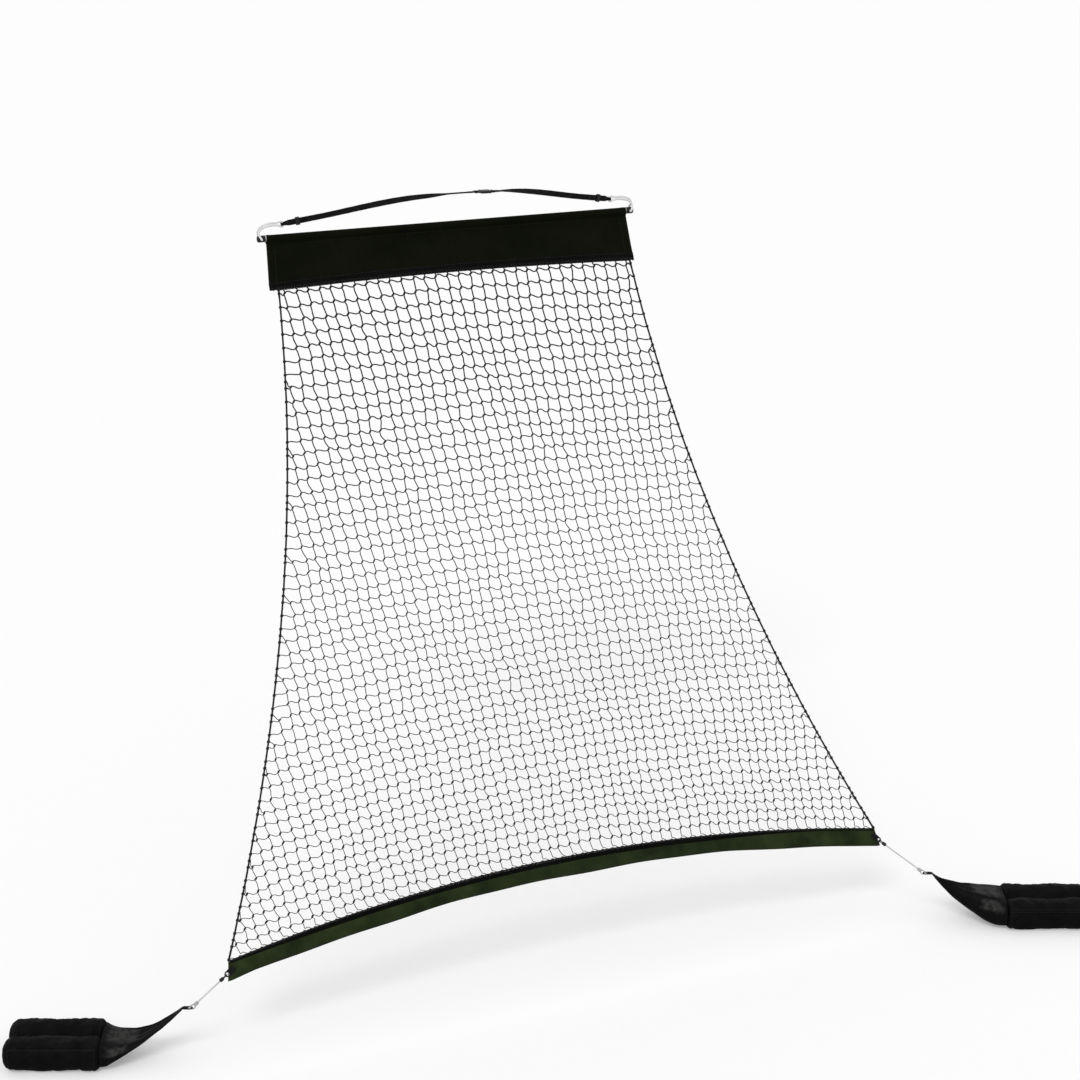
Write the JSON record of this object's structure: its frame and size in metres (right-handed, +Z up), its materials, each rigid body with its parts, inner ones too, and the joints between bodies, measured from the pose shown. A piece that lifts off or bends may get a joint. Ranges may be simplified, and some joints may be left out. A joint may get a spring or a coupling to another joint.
{
  "type": "basketball return net",
  "caption": "Ball return net that hangs from the neck of a rim on a strap and crossbar, widens towards the player and is held out by weight bags.",
  "frame": {"origin": "middle of the strap's flat underside, where it rests on the neck of the rim", "axes": "+Z up, +X to the right as the player sees the net, -Y towards the player"},
  "size_m": [4.6862, 1.9689, 3.0755],
  "materials": {
    "webbing": "black woven webbing",
    "black_plastic": "black moulded plastic",
    "tube": "pale grey painted tube",
    "steel": "zinc-plated spring steel",
    "elastic": "pale braided elastic cord",
    "banner": "black woven cloth",
    "netting": "black knotless twine",
    "rope": "black braided rope",
    "hem": "dark green woven cloth",
    "bag": "black coated cloth"
  },
  "bodies": {
    "hanger": {"strap_left": "webbing", "strap_right": "webbing", "buckle_housing": "black_plastic", "buckle_tongue": "black_plastic", "crossbar_left": "tube", "crossbar_centre": "tube", "crossbar_right": "tube", "button_spring_left": "steel", "button_spring_right": "steel", "end_cap_left": "black_plastic", "end_cap_right": "black_plastic", "bungee_left": "elastic", "bungee_right": "elastic", "banner_pocket": "banner", "banner_skirt": "banner", "net": "netting", "edge_rope_left": "rope", "edge_rope_right": "rope", "hem_rope": "rope", "hem_band": "hem", "hem_tab_left": "webbing", "hem_tab_right": "webbing", "tether_top_left": "black_plastic", "tether_top_right": "black_plastic", "tether_left": "elastic", "tether_right": "elastic", "tether_foot_left": "black_plastic", "tether_foot_right": "black_plastic"},
    "button_left": {"snap_button_left": "steel"},
    "button_right": {"snap_button_right": "steel"},
    "latch_front": {"buckle_latch_front": "black_plastic"},
    "latch_rear": {"buckle_latch_rear": "black_plastic"},
    "slider_left": {"strap_slider_left": "black_plastic"},
    "slider_right": {"strap_slider_right": "black_plastic"},
    "bag_left": {"bag_tab_left": "webbing", "bag_neck_left": "bag", "bag_roll_front_left": "bag", "bag_roll_rear_left": "bag"},
    "bag_right": {"bag_tab_right": "webbing", "bag_neck_right": "bag", "bag_roll_front_right": "bag", "bag_roll_rear_right": "bag"}
  },
  "joints": [
    {"name": "button_press_left", "type": "slide", "parent": "hanger", "child": "button_left", "axis": [0, 0, 1], "range_m": [0, 0.0042], "stiffness_N_per_m": 400, "deforming": ["button_spring_left"]},
    {"name": "button_press_right", "type": "slide", "parent": "hanger", "child": "button_right", "axis": [0, 0, 1], "range_m": [0, 0.0042], "stiffness_N_per_m": 400, "deforming": ["button_spring_right"]},
    {"name": "latch_squeeze_front", "type": "slide", "parent": "hanger", "child": "latch_front", "axis": [-0.0796, 0.9968, 0.0038], "range_m": [0, 0.0045], "stiffness_N_per_m": 300},
    {"name": "latch_squeeze_rear", "type": "slide", "parent": "hanger", "child": "latch_rear", "axis": [0.0796, -0.9968, -0.0038], "range_m": [0, 0.0045], "stiffness_N_per_m": 300},
    {"name": "slider_shift_left", "type": "slide", "parent": "hanger", "child": "slider_left", "axis": [-0.9479, 0.2629, -0.1799], "range_m": [-0.03, 0.03]},
    {"name": "slider_shift_right", "type": "slide", "parent": "hanger", "child": "slider_right", "axis": [0.9479, 0.2629, -0.1799], "range_m": [-0.03, 0.03]},
    {"name": "bag_swing_left", "type": "hinge", "parent": "hanger", "child": "bag_left", "pos_m": [-1.63, -1.411, -2.846], "axis": [0, 0, 1], "range_deg": [-25, 25]},
    {"name": "bag_swing_right", "type": "hinge", "parent": "hanger", "child": "bag_right", "pos_m": [1.63, -1.411, -2.846], "axis": [0, 0, 1], "range_deg": [-25, 25]}
  ]
}
